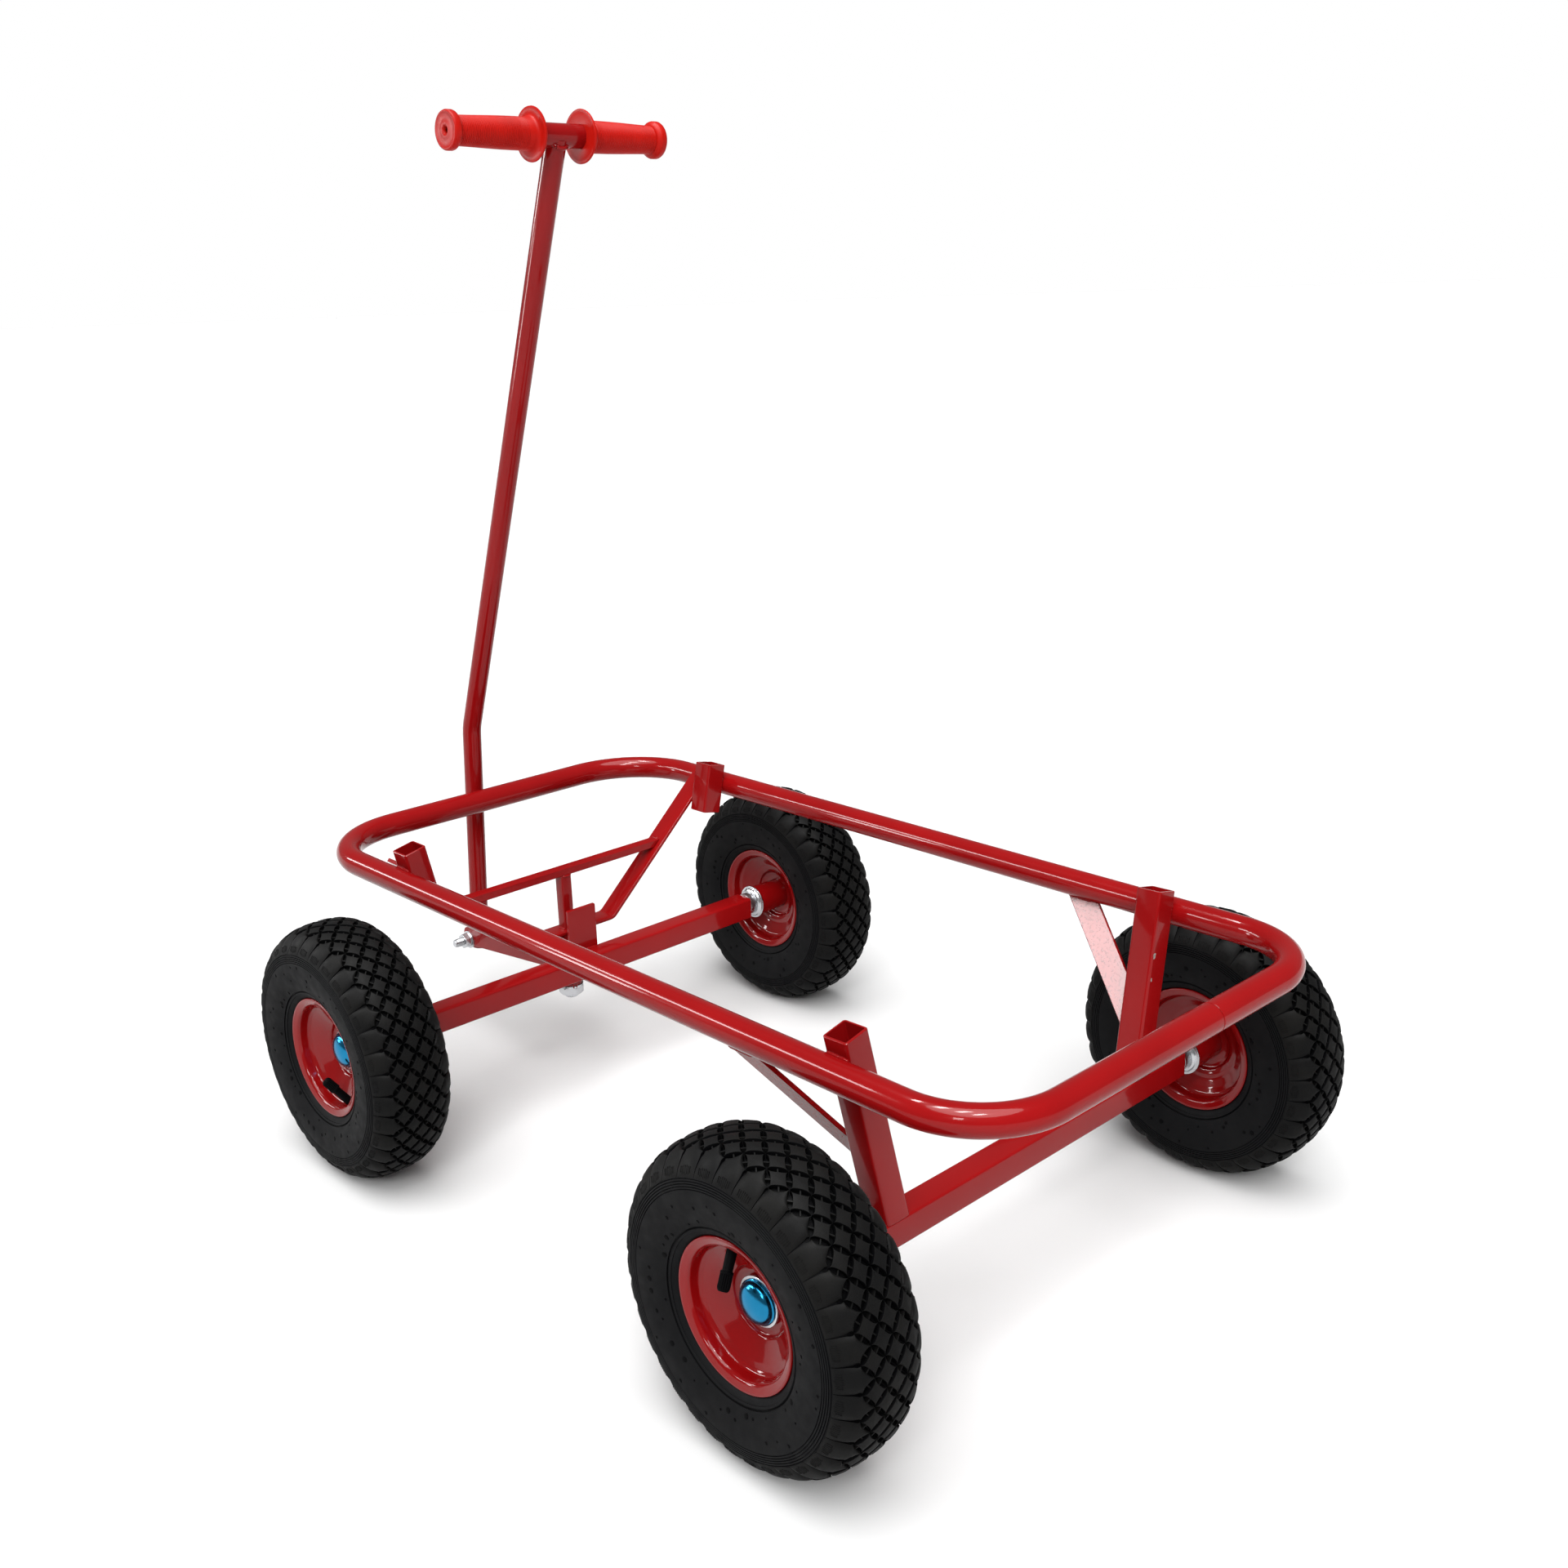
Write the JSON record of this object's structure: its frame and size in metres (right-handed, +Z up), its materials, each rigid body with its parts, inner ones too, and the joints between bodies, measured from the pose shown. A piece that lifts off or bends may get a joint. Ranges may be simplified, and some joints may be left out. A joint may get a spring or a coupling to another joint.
{
  "type": "pull wagon chassis",
  "caption": "Four-wheeled wagon chassis with a rail ring, steered front axle, pneumatic wheels and a folding T-shaped pull handle.",
  "frame": {"origin": "ground plane under the middle of the bounding box, on the wagon's centre plane", "axes": "+X forward to the handle's pivot, +Y to the wagon's left, +Z up"},
  "size_m": [0.9952, 0.671, 1.0017],
  "materials": {
    "red_powder_coat": "gloss powder coat",
    "red_rim": "gloss paint",
    "red_grip": "satin moulded grip",
    "black_tyre": "matt rubber",
    "black_rubber": "satin",
    "zinc_steel": "bright zinc plate",
    "blue_cap": "blue passivated dome cap"
  },
  "bodies": {
    "chassis": {"top_rail": "red_powder_coat", "rail_joint_sleeve": "red_powder_coat", "rear_post_left": "red_powder_coat", "rear_post_right": "red_powder_coat", "front_socket_left": "red_powder_coat", "front_socket_right": "red_powder_coat", "rear_brace_left": "red_powder_coat", "rear_brace_right": "red_powder_coat", "rear_axle_beam": "red_powder_coat", "rear_axle_stubs": "zinc_steel", "rear_washers": "zinc_steel", "rear_caps": "blue_cap", "front_hanger": "red_powder_coat", "front_cross_bar": "red_powder_coat", "hanger_strut": "red_powder_coat", "kingpin": "zinc_steel", "kingpin_washer": "zinc_steel", "kingpin_nut": "zinc_steel"},
    "steering": {"front_axle_beam": "red_powder_coat", "front_axle_stubs": "zinc_steel", "front_washers": "zinc_steel", "front_caps": "blue_cap", "steering_boss": "red_powder_coat", "stop_plate": "red_powder_coat", "tongue_plate_left": "red_powder_coat", "tongue_plate_right": "red_powder_coat", "tongue_web": "red_powder_coat", "pivot_bolt": "zinc_steel", "pivot_washers": "zinc_steel", "pivot_nut": "zinc_steel"},
    "handle": {"handle_tube": "red_powder_coat", "handle_crossbar": "red_powder_coat", "grip_left": "red_grip", "grip_right": "red_grip"},
    "wheel_rl": {"tyre_rl": "black_tyre", "rim_outer_rl": "red_rim", "rim_inner_rl": "red_rim", "hub_rl": "red_rim", "bearings_rl": "zinc_steel", "valve_rl": "black_rubber"},
    "wheel_rr": {"tyre_rr": "black_tyre", "rim_outer_rr": "red_rim", "rim_inner_rr": "red_rim", "hub_rr": "red_rim", "bearings_rr": "zinc_steel", "valve_rr": "black_rubber"},
    "wheel_fl": {"tyre_fl": "black_tyre", "rim_outer_fl": "red_rim", "rim_inner_fl": "red_rim", "hub_fl": "red_rim", "bearings_fl": "zinc_steel", "valve_fl": "black_rubber"},
    "wheel_fr": {"tyre_fr": "black_tyre", "rim_outer_fr": "red_rim", "rim_inner_fr": "red_rim", "hub_fr": "red_rim", "bearings_fr": "zinc_steel", "valve_fr": "black_rubber"}
  },
  "joints": [
    {"name": "steering_hinge", "type": "hinge", "parent": "chassis", "child": "steering", "pos_m": [0.3021, 0, 0.12], "axis": [0, 0, 1], "range_deg": [-18, 18]},
    {"name": "handle_hinge", "type": "hinge", "parent": "steering", "child": "handle", "pos_m": [0.4856, 0, 0.0989], "axis": [0, 1, 0], "range_deg": [0, 108]},
    {"name": "wheel_spin_rl", "type": "hinge", "parent": "chassis", "child": "wheel_rl", "pos_m": [-0.3369, 0.2926, 0.13], "axis": [0, 1, 0], "continuous": true},
    {"name": "wheel_spin_rr", "type": "hinge", "parent": "chassis", "child": "wheel_rr", "pos_m": [-0.3369, -0.2926, 0.13], "axis": [0, 1, 0], "continuous": true},
    {"name": "wheel_spin_fl", "type": "hinge", "parent": "steering", "child": "wheel_fl", "pos_m": [0.2631, 0.2926, 0.13], "axis": [0, 1, 0], "continuous": true},
    {"name": "wheel_spin_fr", "type": "hinge", "parent": "steering", "child": "wheel_fr", "pos_m": [0.2631, -0.2926, 0.13], "axis": [0, 1, 0], "continuous": true}
  ]
}
